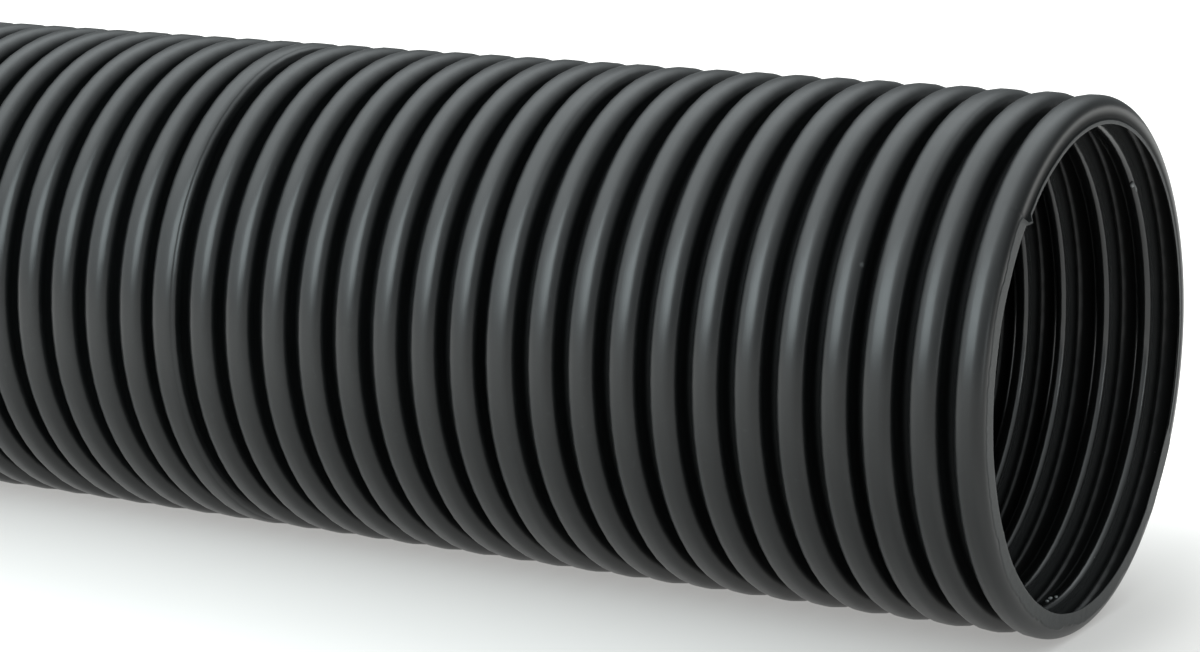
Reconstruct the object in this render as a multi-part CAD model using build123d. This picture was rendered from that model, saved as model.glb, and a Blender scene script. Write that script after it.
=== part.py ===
from build123d import *
import math
import os

# Single-wall corrugated riser pipe, lying along X with its lowest crests on Z = 0.
# The wall is one wave line of constant thickness, turned about the pipe's axis.
# All sizes are in millimetres and all angles in degrees.

# Section of the pipe
bore_diameter = 425.0
wall = 2.6
wave_height = 22.9

# One wave, measured on the outside of the wall
crest_land = 5.6
crest_round = 11.5
root_land = 3.9
root_round = 3.6
flank_draft = 3.0

# Length of the stock, counted in whole waves
wave_count = 37

# Wider rings where two mould blocks of the corrugator met, counted from the sawn end
first_joint = 2
joint_spacing = 9
joint_widening = 2.5

# Saw cut at the +X end. Two cuts, each set back from the middle of the groove, met in a dip
# at one side and in a spur at the other. Angles go round from the top towards +Y.
low_cut_to_groove = 5.65
high_cut_to_groove = 4.5
dip_angle = 127.0
spur_angle = 315.0

# Dip where a cut started too close to the ring
dip_length = 92.0
dip_to_groove = 7.8

# Spur of wall left standing where the cuts missed each other
spur_height = 3.1
spur_rise = 8.0
spur_fall = 3.0

root_radius = bore_diameter / 2 + wall
crest_radius = root_radius + wave_height
draft = math.radians(flank_draft)
flank_height = wave_height - (crest_round + root_round) * (1 - math.sin(draft))
flank_run = flank_height * math.tan(draft)
round_to_round = (crest_round + root_round) * math.cos(draft) + flank_run
pitch = crest_land + root_land + 2 * round_to_round

# Along X from the middle of the last ring, which stands beside the sawn end
low_cut = pitch / 2 - low_cut_to_groove
high_cut = pitch / 2 - high_cut_to_groove
dip_bottom = pitch / 2 - dip_to_groove
spur_tip = high_cut + spur_height


def is_joint(ring):
    """Tells whether a ring is a mould joint; ring 0 is the one at the sawn end."""
    return ring >= first_joint and (ring - first_joint) % joint_spacing == 0


def ring_lands():
    """Lists the flat top of each ring as its high and low X, from one beyond the sawn end back."""
    lands = []
    middle = pitch
    for ring in range(-1, wave_count + 1):
        widening = joint_widening if is_joint(ring) else 0.0
        lands.append((middle + crest_land / 2, middle - crest_land / 2 - widening))
        middle -= pitch
    return lands


def wave_line(lands, depth):
    """Draws the wave this far under the pipe's outside: X along the pipe, Y out from its axis."""
    crest_bend = crest_round - depth
    root_bend = root_round + depth
    crest_y = crest_radius - crest_round
    root_y = root_radius + root_round
    turn = 90 - flank_draft
    line = []
    for (high, low), (next_high, next_low) in zip(lands, lands[1:]):
        near_root = low - round_to_round
        far_root = next_high + round_to_round
        line.append(Line((high, crest_y + crest_bend), (low, crest_y + crest_bend)))
        line.append(CenterArc((low, crest_y), crest_bend, 90, turn))
        line.append(CenterArc((near_root, root_y), root_bend, -flank_draft, -turn))
        line.append(Line((near_root, root_y - root_bend), (far_root, root_y - root_bend)))
        line.append(CenterArc((far_root, root_y), root_bend, -90, -turn))
        line.append(CenterArc((next_high, crest_y), crest_bend, flank_draft, turn))
    return with_flanks(line)


def with_flanks(line):
    """Adds the straight flanks between the rounds of a wave line."""
    edges = [line[0]]
    for piece in line[1:]:
        start, end = edges[-1] @ 1, piece @ 0
        if (start - end).length > wall / 1000:
            edges.append(Line(start, end))
        edges.append(piece)
    return edges


def turned_wall(lands, plain_end):
    """Turns the wall's section about the axis, trimmed square from the plain end to the spur's tip."""
    outside = wave_line(lands, 0.0)
    inside = wave_line(lands, wall)
    caps = [Line(inside[0] @ 0, outside[0] @ 0), Line(outside[-1] @ 1, inside[-1] @ 1)]
    section = make_face(outside + inside + caps)
    trim = Rectangle(spur_tip - plain_end, 2 * crest_radius + wall)
    section &= Pos((spur_tip + plain_end) / 2, 0) * trim
    return revolve(section, Axis.X)


def sector(start, low_x, first_angle, last_angle):
    """Makes the ring of waste beyond an X, from one angle round to another."""
    depth = wave_height + 2 * wall
    blank = Pos(low_x, crest_radius + wall - depth) * Rectangle(start - low_x, depth, align=Align.MIN)
    return Rot(90 - last_angle, 0, 0) * revolve(blank, Axis.X, last_angle - first_angle)


def dip():
    """Makes a drum, set on end against the wall, whose side cuts the dip to its length and depth."""
    depth = high_cut - dip_bottom
    radius = ((dip_length / 2) ** 2 + depth ** 2) / (2 * depth)
    drum = Cylinder(radius, crest_radius + wall, align=(Align.CENTER, Align.CENTER, Align.MIN))
    return Rot(-dip_angle, 0, 0) * Pos(dip_bottom + radius, 0, 0) * drum


def spur():
    """Makes the blade-shaped prism of wall that stands between the two cuts."""
    foot = low_cut - spur_height
    blade = Polyline((foot, -spur_fall), (high_cut, -spur_fall), (spur_tip, 0), (low_cut, spur_rise),
                     (foot, spur_rise), close=True)
    prism = extrude(make_face(blade), crest_radius + wall)
    return Rot(-spur_angle, 0, 0) * prism


def sawn(pipe):
    """Cuts the wall back to the low and the high cut, with the dip and the spur between them."""
    beyond = spur_tip + wall
    waste = sector(beyond, low_cut, dip_angle, spur_angle)
    waste += sector(beyond, high_cut, spur_angle, dip_angle + 360)
    return pipe - dip() - (waste - spur())


lands = ring_lands()
plain_end = (lands[-2][0] + lands[-2][1]) / 2 - pitch / 2
riser_pipe = sawn(turned_wall(lands, plain_end))
length = spur_tip - plain_end
riser_pipe = Pos(length / 2 - spur_tip, 0, crest_radius) * riser_pipe

os.makedirs("parts", exist_ok=True)
export_step(riser_pipe, "parts/riser_pipe.step")
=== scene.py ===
import bpy
import numpy as np
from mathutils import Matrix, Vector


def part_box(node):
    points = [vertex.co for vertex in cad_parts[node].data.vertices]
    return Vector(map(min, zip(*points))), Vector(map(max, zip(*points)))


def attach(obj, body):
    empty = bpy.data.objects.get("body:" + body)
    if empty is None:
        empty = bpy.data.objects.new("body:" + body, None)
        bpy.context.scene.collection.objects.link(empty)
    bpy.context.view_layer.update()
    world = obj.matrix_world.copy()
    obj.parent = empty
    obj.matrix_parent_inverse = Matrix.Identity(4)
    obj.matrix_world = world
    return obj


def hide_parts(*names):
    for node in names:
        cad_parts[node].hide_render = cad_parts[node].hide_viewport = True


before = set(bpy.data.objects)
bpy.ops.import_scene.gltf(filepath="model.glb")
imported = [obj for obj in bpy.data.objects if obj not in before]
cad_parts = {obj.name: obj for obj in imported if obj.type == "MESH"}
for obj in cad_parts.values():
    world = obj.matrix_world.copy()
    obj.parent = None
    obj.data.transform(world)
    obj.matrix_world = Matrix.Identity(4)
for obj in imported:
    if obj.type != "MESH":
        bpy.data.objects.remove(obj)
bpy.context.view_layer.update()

# The wall: one skin of black polypropylene, drawn into rings while hot by a chain of mould
# blocks. It stands for the frame's solid at the same sizes, as one closed grid of quads
# around the pipe's axis, with a finer patch at the sawn end.
low_corner, high_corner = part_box("riser_pipe")
axis_height = (high_corner.z + low_corner.z) / 2
crest_radius = -low_corner.y
bore_radius = 0.2125
wall = 0.0026
root_radius = bore_radius + wall
wave_height = 0.0229
crest_land = 0.0056
crest_round = 0.0115
root_land = 0.0039
root_round = 0.0036
draft = np.radians(3.0)
flank_height = wave_height - (crest_round + root_round) * (1 - np.sin(draft))
round_to_round = (crest_round + root_round) * np.cos(draft) + flank_height * np.tan(draft)
pitch = crest_land + root_land + 2 * round_to_round

# A block of the mould ends on every ninth ring, which came out wider.
ring_count = 37
first_joint = 2
joint_spacing = 9
joint_rings = np.arange(first_joint, ring_count, joint_spacing)
joint_widening = 0.0025

# The saw cut: two levels that meet in a dip at one side and leave a spur at the other.
# Angles go round from the top towards +Y.
low_cut_to_groove = 0.00565
high_cut_to_groove = 0.0045
dip_to_groove = 0.0078
dip_length = 0.092
dip_angle = np.radians(127.0)
spur_height = 0.0031
spur_rise = 0.008
spur_fall = 0.003
spur_angle = np.radians(315.0)

# The same levels as X from the middle of the last ring
low_cut = pitch / 2 - low_cut_to_groove
high_cut = pitch / 2 - high_cut_to_groove
dip_bottom = pitch / 2 - dip_to_groove
spur_tip = high_cut + spur_height
last_ring_x = high_corner.x - spur_tip


def half_wave(depth, crest_steps, root_steps):
    """One side of a ring, this far under the skin, from the end of its flat top out and down
    to the groove's floor. The crest round is an arc about (0, crest centre) from 90 degrees
    down to the draft angle, and the root round an arc about (round_to_round, root centre)
    that starts where a straight flank meets it. Gives X beyond the flat top, and radius."""
    over = np.linspace(np.pi / 2, draft, crest_steps + 1)
    under = np.linspace(draft, np.pi / 2, root_steps + 1)
    crest_bend = crest_round - depth
    root_bend = root_round + depth
    x = np.concatenate([crest_bend * np.cos(over), round_to_round - root_bend * np.cos(under)])
    r = np.concatenate([crest_radius - crest_round + crest_bend * np.sin(over),
                        root_radius + root_round - root_bend * np.sin(under)])
    return x, r


def ring_rows(depth, crest_steps, root_steps):
    """X and radius of every row of the wave under the skin, from the last ring's flat top
    back to the plain end: both sides of each ring hang on the ends of its flat top."""
    x, r = half_wave(depth, crest_steps, root_steps)
    rows_x = np.concatenate([ring_high[:, None] + x[::-1], ring_low[:, None] - x], axis=1)
    rows_r = np.tile(np.concatenate([r[::-1], r]), (ring_count, 1))
    return rows_x.ravel()[len(x):], rows_r.ravel()[len(x):]


ring = np.arange(ring_count)
is_joint = np.isin(ring, joint_rings)
ring_middle = last_ring_x - pitch * ring
ring_high = ring_middle + crest_land / 2
ring_low = ring_middle - crest_land / 2 - joint_widening * is_joint
plain_end = (ring_high[-1] + ring_low[-1]) / 2 - pitch / 2

outside_x, outside_r = ring_rows(0.0, crest_steps=5, root_steps=2)
inside_x, inside_r = ring_rows(wall, crest_steps=2, root_steps=3)
body_x = np.concatenate([outside_x, [plain_end, plain_end], inside_x[::-1]])
body_r = np.concatenate([outside_r, [root_radius, bore_radius], inside_r[::-1]])
body_columns = 64
finer = 10
end_columns = body_columns * finer


def around(x, r, angle):
    """Points at X and radius from the axis, at an angle from the top towards +Y."""
    x, r, angle = np.broadcast_arrays(x, r, angle)
    return np.stack([x, r * np.sin(angle), axis_height + r * np.cos(angle)], axis=-1)


def wrapped(angle):
    """An angle brought between minus and plus half a turn."""
    return (angle + np.pi) % (2 * np.pi) - np.pi


def smooth_noise(angle, waves, seed):
    """Noise of about unit size round the pipe: a sum of sines of equal size and random phase,
    whose whole wave counts are drawn from a quarter of the given number up to it."""
    random = np.random.default_rng(seed)
    sines = 24
    counts = random.integers(waves // 4, waves, sines)
    phases = random.uniform(0, 2 * np.pi, sines)
    return np.sin(counts * angle[..., None] + phases).sum(axis=-1) / np.sqrt(sines / 2)


def cut_height(angle):
    """X of the saw cut beyond the last ring's middle, round the pipe: the low level between
    the dip and the spur, the high level elsewhere, then the dip's arc and the spur's blade."""
    on_low = (angle > dip_angle) & (angle < spur_angle)
    height = np.where(on_low, low_cut, high_cut)
    drop = high_cut - dip_bottom
    dip_radius = ((dip_length / 2) ** 2 + drop ** 2) / (2 * drop)
    from_dip = np.clip(bore_radius * wrapped(angle - dip_angle), -dip_radius, dip_radius)
    height = np.minimum(height, dip_bottom + dip_radius - np.sqrt(dip_radius ** 2 - from_dip ** 2))
    from_spur = bore_radius * wrapped(angle - spur_angle)
    blade = np.interp(from_spur, [-spur_fall, 0, spur_rise], [high_cut, spur_tip, low_cut],
                      left=-1, right=-1)
    return np.maximum(height, blade)


def skin_to_cut(depth, height, rows):
    """Rows from the last ring's flat top along the skin to the cut, in equal steps of arc
    length at each angle: X from the ring's middle, and radius, by row and column."""
    x, r = half_wave(depth, crest_steps=60, root_steps=40)
    x = np.append(crest_land / 2 + x, pitch / 2 + root_land)
    r = np.append(r, r[-1])
    run = np.concatenate([[0], np.cumsum(np.hypot(np.diff(x), np.diff(r)))])
    reach = np.interp(height, x, run)
    along = np.linspace(0, 1, rows)[:, None] * reach
    return np.interp(along, run, x), np.interp(along, run, r)


end_angle = np.linspace(0, 2 * np.pi, end_columns, endpoint=False)
fine_ragged = 0.00003 * smooth_noise(end_angle, 160, 3)
long_ragged = 0.00008 * smooth_noise(end_angle, 24, 4)
ragged = fine_ragged + long_ragged
cut = np.minimum(cut_height(end_angle) + ragged, spur_tip)
rim = 0.0004
outer_x, outer_r = skin_to_cut(0.0, cut - rim, rows=13)
inner_x, inner_r = skin_to_cut(wall, cut - rim / 2, rows=11)

# Across the cut face the rows run from the inner rim to the outer one. The saw left it
# scored, so each row between the rims is set in or out by its own noise.
across = np.array([0.06, 0.25, 0.45, 0.65, 0.85, 0.96])[:, None]
face_r = inner_r[-1] + (outer_r[-1] - inner_r[-1]) * across
scored = np.stack([smooth_noise(end_angle, 300, 10 + row) for row in range(len(across))])
score_depth = 0.00005
score_set_back = 0.00003
face_x = cut + np.minimum(score_depth * scored - score_set_back, 0)
end_x = last_ring_x + np.concatenate([inner_x, face_x, outer_x[::-1]])
end_r = np.concatenate([inner_r, face_r, outer_r[::-1]])
end_sawn = np.zeros(len(end_x))
end_sawn[len(inner_x):len(inner_x) + len(across)] = 1.0
end_inside = np.zeros(len(end_x))
end_inside[:len(inner_x)] = 1.0
body_inside = np.arange(len(body_x)) > len(outside_x)

body_angle = np.linspace(0, 2 * np.pi, body_columns, endpoint=False)
body_points = around(body_x[:, None], body_r[:, None], body_angle)
end_points = around(end_x, end_r, end_angle)


def grid_quads(rows, columns, first):
    """Quads of a grid that closes round its columns, facing out of the wall."""
    index = first + np.arange(rows * columns).reshape(rows, columns)
    after = np.roll(index, -1, axis=1)
    return np.stack([index[:-1], after[:-1], after[1:], index[1:]], axis=-1).reshape(-1, 4)


def fans(coarse, fine):
    """Triangles between a coarse row and a fine one: each coarse point fans out to the fine
    points nearest to it, and one triangle closes the space between two fans."""
    after = np.roll(coarse, -1)
    step = fine.reshape(len(coarse), finer)
    fine_after = np.roll(fine, -1).reshape(len(coarse), finer)
    half = finer // 2
    near = [np.stack([coarse, step[:, k], fine_after[:, k]], axis=-1) for k in range(half)]
    far = [np.stack([after, step[:, k], fine_after[:, k]], axis=-1) for k in range(half, finer)]
    middle = [np.stack([coarse, step[:, half], after], axis=-1)]
    return np.concatenate(near + far + middle)


end_first = body_points[..., 0].size
body_index = np.arange(end_first).reshape(len(body_x), body_columns)
end_index = end_first + np.arange(end_points[..., 0].size).reshape(len(end_x), end_columns)
quads = np.concatenate([grid_quads(len(body_x), body_columns, 0),
                        grid_quads(len(end_x), end_columns, end_first)])
triangles = np.concatenate([fans(body_index[0], end_index[-1]),
                            fans(body_index[-1], end_index[0])[:, ::-1]])
points = np.concatenate([body_points.reshape(-1, 3), end_points.reshape(-1, 3)])

wall_mesh = bpy.data.meshes.new("pipe_wall")
wall_mesh.from_pydata(points, [], quads.tolist() + triangles.tolist())
wall_mesh.shade_smooth()
sawn = wall_mesh.attributes.new("sawn", "FLOAT", "POINT")
sawn.data.foreach_set("value", np.concatenate([np.zeros(end_first),
                                               np.repeat(end_sawn, end_columns)]))
inside = wall_mesh.attributes.new("inside", "FLOAT", "POINT")
inside.data.foreach_set("value", np.concatenate([np.repeat(body_inside, body_columns),
                                                 np.repeat(end_inside, end_columns)]))
pipe = bpy.data.objects.new("riser_pipe_wall", wall_mesh)
bpy.context.scene.collection.objects.link(pipe)
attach(pipe, "root")
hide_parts("riser_pipe")


# The finish of the wall: satin black plastic as it leaves the mould, with fine streaks along
# its length from the die, a little dust on the crests, one scuff, a seam on the mould's joint
# rings, a glossier inside with painted light on its flanks, painted shade in the grooves
# and hollows, and a rough sawn face.
class Wire:
    """A socket in a material or the world: + - * / and ** on wires or numbers add Math nodes."""

    def __init__(self, tree, socket=None):
        self.tree = tree
        self.socket = socket

    def node(self, kind, settings=None, inputs=None, output=0):
        """Adds a node, sets its settings, gives its inputs values or links, and wraps an output."""
        made = self.tree.nodes.new(kind)
        for name, value in (settings or {}).items():
            setattr(made, name, value)
        for name, value in (inputs or {}).items():
            if isinstance(value, Wire):
                self.tree.links.new(value.socket, made.inputs[name])
            else:
                made.inputs[name].default_value = value
        return Wire(self.tree, made.outputs[output] if made.outputs else None)

    def math(self, operation, left, right=0.0):
        """Adds a Math node on two wires or numbers."""
        return self.node("ShaderNodeMath", {"operation": operation}, {0: left, 1: right})

    def __add__(self, other):
        return self.math("ADD", self, other)

    __radd__ = __add__

    def __mul__(self, other):
        return self.math("MULTIPLY", self, other)

    __rmul__ = __mul__

    def __sub__(self, other):
        return self.math("SUBTRACT", self, other)

    def __rsub__(self, other):
        return self.math("SUBTRACT", other, self)

    def __truediv__(self, other):
        return self.math("DIVIDE", self, other)

    def __pow__(self, other):
        return self.math("POWER", self, other)

    def ramp(self, start, end):
        """Rises smoothly from 0 at start to 1 at end."""
        return self.node("ShaderNodeMapRange", {"interpolation_type": "SMOOTHSTEP"},
                         {"Value": self, "From Min": start, "From Max": end})

    def noise(self, place, scale, detail=3.0, roughness=0.55):
        """Noise from 0 to 1 at a place given by a vector."""
        return self.node("ShaderNodeTexNoise", {}, {
            "Vector": place, "Scale": scale, "Detail": detail, "Roughness": roughness})

    def stretched(self, place, scale):
        """A place with each axis scaled by its own amount."""
        return self.node("ShaderNodeVectorMath", {"operation": "MULTIPLY"}, {0: place, 1: scale})

    def blended(self, amount, first, second):
        """A colour between two, by an amount from 0 to 1."""
        return self.node("ShaderNodeMix", {"data_type": "RGBA"},
                         {"Factor": amount, "A": first, "B": second}, 2)


plastic = bpy.data.materials.new("satin_black_polypropylene")
plastic.use_nodes = True
plastic.node_tree.nodes.clear()
shade = Wire(plastic.node_tree)
place = shade.node("ShaderNodeTexCoord", output="Object")
along_pipe = shade.node("ShaderNodeSeparateXYZ", {}, {"Vector": place}, "X")
off_side = shade.node("ShaderNodeSeparateXYZ", {}, {"Vector": place}, "Y")
off_floor = shade.node("ShaderNodeSeparateXYZ", {}, {"Vector": place}, "Z") - axis_height
radius = (off_side * off_side + off_floor * off_floor) ** 0.5

# The plastic itself
streak_place = shade.stretched(place, (4.0, 60.0, 60.0))
streaks = shade.noise(streak_place, 6.0, 4.0)
cloud = shade.noise(place, 9.0, 4.0)
grain = shade.noise(place, 900.0, 2.0)
crest_share = radius.ramp(root_radius, crest_radius)
dust = shade.noise(place, 160.0, 6.0, 0.7).ramp(0.56, 0.8) * crest_share
plain_colour = shade.blended(cloud.ramp(0.3, 0.7), (0.0016, 0.0020, 0.0021, 1),
                             (0.0026, 0.0031, 0.0032, 1))
dusty_colour = shade.blended(dust * 0.15, plain_colour, (0.06, 0.064, 0.064, 1))

# Where two mould blocks met, a joint ring has a shallow groove and a lip beside it on its
# shoulder towards the sawn end. The blocks that made one of them, ring 20, fitted worst.
worst_joint = 20
lip_from_middle = 0.0118
lip_half_width = 0.0021
lip_height = 0.0004
groove_from_middle = 0.0093
groove_half_width = 0.0013
groove_depth = 0.00012
half_a_block = joint_spacing / 2
rings_back = (last_ring_x - along_pipe) / pitch
block_share = shade.math("FRACT", (rings_back + (half_a_block - first_joint)) / joint_spacing)
beyond_middle = (0.5 - block_share) * joint_spacing * pitch
misfit = 0.2 + 0.8 * (1 - shade.math("ABSOLUTE", rings_back - worst_joint).ramp(0.5, 0.6))
off_lip = shade.math("ABSOLUTE", beyond_middle - lip_from_middle)
off_groove = shade.math("ABSOLUTE", beyond_middle - groove_from_middle)
seam_lip = 1 - off_lip.ramp(0, lip_half_width)
seam_groove = 1 - off_groove.ramp(0, groove_half_width)
seam = misfit * (lip_height * seam_lip - groove_depth * seam_groove)

# A small pale scuff on the shoulder of the third ring from the last
scuff_place = (last_ring_x - 0.1104, -0.2046, axis_height + 0.1125)
from_scuff = shade.node("ShaderNodeVectorMath", {"operation": "DISTANCE"},
                        {0: place, 1: scuff_place}, "Value")
scuff = (1 - from_scuff.ramp(0.0008, 0.0032)) * shade.noise(place, 500.0, 3.0).ramp(0.3, 0.55)
worn_colour = shade.blended(scuff * 0.7, dusty_colour, (0.05, 0.053, 0.053, 1))

# The sawn face
sawn_share = shade.node("ShaderNodeAttribute", {"attribute_name": "sawn"}, output="Fac")
inside_share = shade.node("ShaderNodeAttribute", {"attribute_name": "inside"}, output="Fac")
scores = shade.noise(place, 700.0, 4.0, 0.7)
sawn_colour = shade.blended(scores.ramp(0.35, 0.7), (0.02, 0.0215, 0.0215, 1),
                            (0.032, 0.0345, 0.0345, 1))
colour = shade.blended(sawn_share, worn_colour, sawn_colour)
roughness = (0.26 + 0.08 * cloud + 0.06 * streaks + 0.1 * dust + 0.2 * scuff
             + 0.25 * sawn_share)
height = (0.00002 * streaks + 0.000012 * grain + 0.00008 * scores * sawn_share
          + seam * (1 - inside_share))
relief = shade.node("ShaderNodeBump", {}, {"Height": height, "Strength": 1.0, "Distance": 1.0})
satin = shade.node("ShaderNodeBsdfPrincipled", {}, {
    "Base Color": colour, "Roughness": roughness, "IOR": 1.5, "Normal": relief})

# Inside, where the hot skin touched no mould, it is glossier
# The flanks inside are painted lighter: painted light standing in for the light that comes in
# through the open end and falls on them.
past_root = radius.ramp(bore_radius + 0.001, bore_radius + 0.005)
past_flank = radius.ramp(bore_radius + 0.013, bore_radius + 0.019)
painted_flank_light = past_root - past_flank
painted_flank_light_colour = shade.blended(painted_flank_light, (0.003, 0.0032, 0.0032, 1), (0.03, 0.031, 0.031, 1))
specks = shade.noise(place, 420.0, 2.0).ramp(0.74, 0.77)
inside_colour = shade.blended(specks * 0.6, painted_flank_light_colour, (0.09, 0.093, 0.093, 1))
glossy = shade.node("ShaderNodeBsdfPrincipled", {}, {
    "Base Color": inside_colour, "Roughness": 0.16 + 0.06 * cloud, "IOR": 1.5,
    "Specular IOR Level": 0.7, "Normal": relief})
touched = shade.node("ShaderNodeMixShader", {}, {0: inside_share, 1: satin, 2: glossy})

# The deepest parts of the wave get painted shade: a dull finish that reflects little darkens the
# grooves outside and, less so, the hollows inside
deep_colour = shade.blended(inside_share, colour, inside_colour)
painted_shade_dull = shade.node("ShaderNodeBsdfPrincipled", {}, {
    "Base Color": deep_colour, "Roughness": 0.6, "IOR": 1.5,
    "Specular IOR Level": 0.12, "Normal": relief})
in_groove = 1 - radius.ramp(root_radius + 0.005, root_radius + 0.013)
in_hollow = 0.55 * radius.ramp(bore_radius + 0.006, bore_radius + 0.014)
deepest = 0.42 * radius.ramp(bore_radius + 0.0205, bore_radius + 0.0222)
# Painted shade: how much of the dull, dark finish each place gets
painted_shade_outside = in_groove * (1 - inside_share)
painted_shade_inside = (in_hollow + deepest) * inside_share
painted_shade_share = (painted_shade_outside + painted_shade_inside) * (1 - sawn_share)
skin = shade.node("ShaderNodeMixShader", {}, {0: painted_shade_share, 1: touched, 2: painted_shade_dull})
shade.node("ShaderNodeOutputMaterial", {}, {"Surface": skin})
wall_mesh.materials.append(plastic)


# Bits of plastic inside the open end: a nub with a drawn-out tail, left on the flank of the
# first ridge when the hot skin was drawn in, and three crumbs from the saw at the bottom.
lump_rows = 10
lump_columns = 16


def lump(x, angle, r, sizes, seed):
    """A closed bit of plastic on the wall's inside: a ball of longitude and latitude rows,
    stretched to its sizes along the pipe, around it and out of the wall, whose radius swells
    and shrinks by a few sines."""
    random = np.random.default_rng(seed)
    turn = np.linspace(0, 2 * np.pi, lump_columns, endpoint=False)
    rise = np.linspace(0, np.pi, lump_rows)[:, None]
    swell = 1 + sum(random.uniform(-0.14, 0.14) * np.sin(k * turn + random.uniform(0, 6))
                    * np.sin(rise) ** k for k in (1, 2, 3))
    ball = np.stack(np.broadcast_arrays(np.sin(rise) * np.cos(turn), np.sin(rise) * np.sin(turn),
                                        np.cos(rise)), axis=-1)
    ball = ball * (swell * np.ones_like(rise))[..., None] * np.array(sizes) / 2
    return around(x + ball[..., 0], r - ball[..., 2], angle + ball[..., 1] / r)


lumps = [lump(-0.0146, np.radians(49.5), 0.2128, (0.0044, 0.0054, 0.0050), 1),
         lump(-0.0134, np.radians(51.2), 0.2146, (0.0018, 0.0090, 0.0018), 2),
         lump(-0.0197, np.radians(178.8), 0.2124, (0.0034, 0.0050, 0.0030), 3),
         lump(-0.0188, np.radians(181.6), 0.2123, (0.0032, 0.0036, 0.0028), 4),
         lump(-0.0172, np.radians(176.9), 0.2128, (0.0030, 0.0046, 0.0026), 5)]
lump_size = lump_rows * lump_columns
lump_points = np.concatenate([bit.reshape(-1, 3) + (last_ring_x, 0, 0) for bit in lumps])
lump_quads = np.concatenate([grid_quads(lump_rows, lump_columns, lump_size * k)
                             for k in range(len(lumps))])
lump_mesh = bpy.data.meshes.new("bits_of_plastic")
lump_mesh.from_pydata(lump_points, [], lump_quads.tolist())
lump_mesh.shade_smooth()
torn = bpy.data.materials.new("torn_polypropylene")
torn.use_nodes = True
torn.node_tree.nodes.clear()
tear = Wire(torn.node_tree)
tear_cloud = tear.noise(tear.node("ShaderNodeTexCoord", output="Object"), 900.0)
tear_colour = tear.blended(tear_cloud.ramp(0.3, 0.7), (0.18, 0.187, 0.187, 1),
                           (0.3, 0.31, 0.31, 1))
tear_skin = tear.node("ShaderNodeBsdfPrincipled", {}, {
    "Base Color": tear_colour, "Roughness": 0.4, "IOR": 1.5})
tear.node("ShaderNodeOutputMaterial", {}, {"Surface": tear_skin})
lump_mesh.materials.append(torn)
bits = bpy.data.objects.new("bits_of_plastic", lump_mesh)
bpy.context.scene.collection.objects.link(bits)
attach(bits, "root")

# The floor: a plain white sheet that the pipe lies on. It glows a little, so it stays white,
# less beside the pipe, as a soft shadow, and less in front of the pipe's right end, which
# keeps the rings' lower halves dark there.
floor_half = 30.0
dim_middle = (0.9, -1.1, 0)
floor_mesh = bpy.data.meshes.new("floor")
floor_corners = [(-floor_half, -floor_half, 0), (floor_half, -floor_half, 0),
                 (floor_half, floor_half, 0), (-floor_half, floor_half, 0)]
floor_mesh.from_pydata(floor_corners, [], [(0, 1, 2, 3)])
floor = bpy.data.objects.new("floor", floor_mesh)
bpy.context.scene.collection.objects.link(floor)
paper = bpy.data.materials.new("white_paper")
paper.use_nodes = True
paper.node_tree.nodes.clear()
sheet = Wire(paper.node_tree)
sheet_place = sheet.node("ShaderNodeTexCoord", output="Object")
sheet_cloud = sheet.noise(sheet_place, 3.0)
sheet_colour = sheet.blended(sheet_cloud, (0.385, 0.38, 0.37, 1), (0.4, 0.395, 0.385, 1))
along = sheet.node("ShaderNodeSeparateXYZ", {}, {"Vector": sheet_place}, "X")
aside = sheet.node("ShaderNodeSeparateXYZ", {}, {"Vector": sheet_place}, "Y")
long_place = sheet.stretched(sheet_place, (0.6, 1, 1))
from_dim = sheet.node("ShaderNodeVectorMath", {"operation": "DISTANCE"},
                      {0: long_place, 1: dim_middle}, "Value")
far_off = (aside * aside + 0.18 * (along * along).ramp(0.5, 0.72)).ramp(0.04, 0.4)
past_dim = 0.42 + 0.58 * from_dim.ramp(0.3, 1.8)
past_shadow = 0.45 + 0.55 * far_off
in_light = past_dim * past_shadow
sheet_glow = sheet.blended(in_light, (0, 0, 0, 1), (1, 0.99, 0.97, 1))
sheet_skin = sheet.node("ShaderNodeBsdfPrincipled", {}, {
    "Base Color": sheet_colour, "Roughness": 0.9, "Specular IOR Level": 0.0,
    "Emission Color": sheet_glow, "Emission Strength": 0.95})
sheet.node("ShaderNodeOutputMaterial", {}, {"Surface": sheet_skin})
floor_mesh.materials.append(paper)

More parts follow.
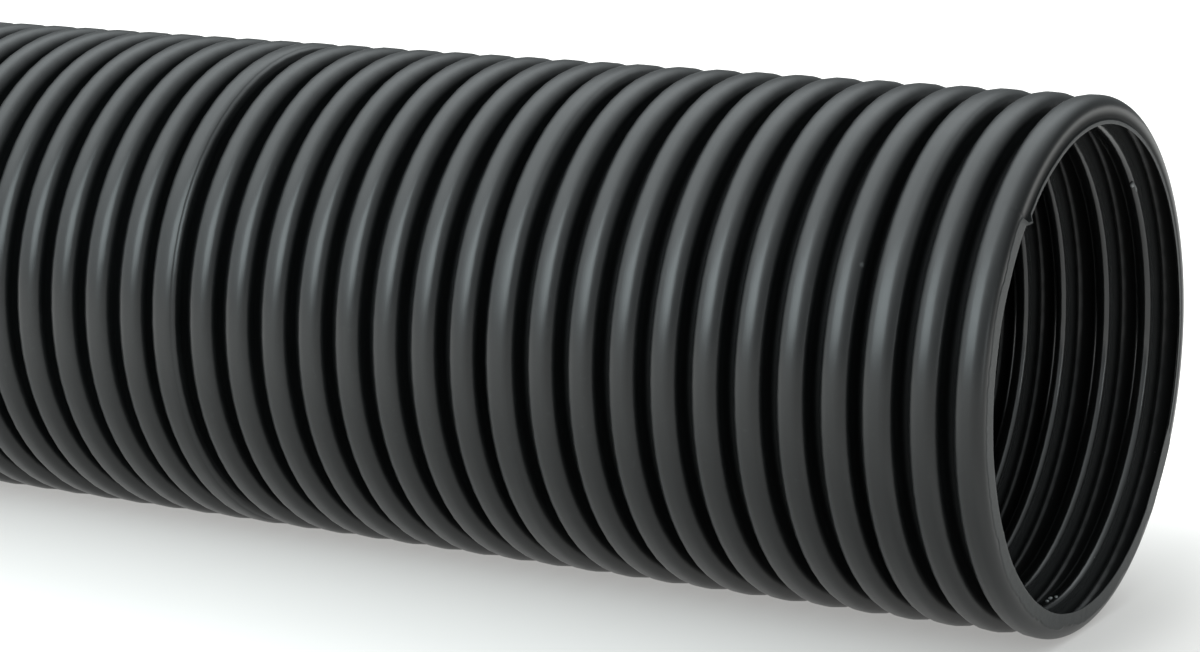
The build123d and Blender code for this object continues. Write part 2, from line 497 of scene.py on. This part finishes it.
# The light: a tent that glows from above and from the left, dimmer on the right and low behind,
# and a wide softbox in front of the pipe's left half that lights one soft band on each ring.
tent = bpy.data.worlds.new("light_tent")
tent.use_nodes = True
tent.node_tree.nodes.clear()
glow = Wire(tent.node_tree)
sky = glow.node("ShaderNodeTexCoord", output="Generated")
towards_end, towards_back, towards_top = (
    glow.node("ShaderNodeSeparateXYZ", {}, {"Vector": sky}, axis) for axis in "XYZ")
front = towards_back.ramp(0.3, -0.5)
left = towards_end.ramp(0.75, -0.75)
left_and_back = (0.5 * towards_back - 0.8 * towards_end).ramp(-0.6, 0.6)
raised = towards_top.ramp(-0.1, 0.25)
above = towards_top.ramp(0.3, 0.95)
strength = 0.25 + front * (0.1 + 0.4 * raised + 0.9 * left) + above * (0.3 + 2.4 * left_and_back)
background = glow.node("ShaderNodeBackground", {}, {
    "Color": (0.93, 1, 1.02, 1), "Strength": strength})
glow.node("ShaderNodeOutputWorld", {}, {"Surface": background})
bpy.context.scene.world = tent

softbox = bpy.data.lights.new("softbox", "AREA")
softbox.shape = "RECTANGLE"
softbox.size = 1.85
softbox.size_y = 1.05
softbox.energy = 27.0
softbox.color = (0.87, 1, 1.03)
lamp = bpy.data.objects.new("softbox", softbox)
lamp.location = (last_ring_x - 0.98, -1.71, axis_height + 0.84)
lamp.rotation_euler = (np.radians(63), 0, np.radians(45))
bpy.context.scene.collection.objects.link(lamp)

# A narrow lamp on the right, a little above the pipe's axis, shines into the open end and
# draws a thin line on each ridge.
narrow = bpy.data.lights.new("side_lamp", "AREA")
narrow.shape = "RECTANGLE"
narrow.size = 0.1
narrow.size_y = 0.4
narrow.energy = 1.0
narrow.color = (0.93, 1, 1.02)
side_lamp = bpy.data.objects.new("side_lamp", narrow)
side_lamp.location = (last_ring_x + 1.48, -0.48, axis_height + 0.2)
side_lamp.rotation_euler = (np.radians(83), 0, np.radians(72))
bpy.context.scene.collection.objects.link(side_lamp)

# The camera stands 2.7 m in front of the pipe's right end and about 0.84 m above the floor,
# and looks a little down and to the left along it. Its place is in crest radii.
frame_width = 1200.0
focal_length = 3387.3
sensor_width = 36.0
yaw, pitch_down = 0.5209, 0.1931
stand = np.array([4.5328, -11.4031, 2.5293]) * crest_radius
lens = bpy.data.cameras.new("camera")
lens.sensor_width = sensor_width
lens.lens = focal_length / frame_width * sensor_width
lens.clip_end = 200.0
camera = bpy.data.objects.new("camera", lens)
camera.location = stand + np.array([last_ring_x, 0, axis_height])
camera.rotation_euler = (np.pi / 2 - pitch_down, 0, yaw)
bpy.context.scene.collection.objects.link(camera)
bpy.context.scene.camera = camera
bpy.context.scene.view_settings.view_transform = "Standard"
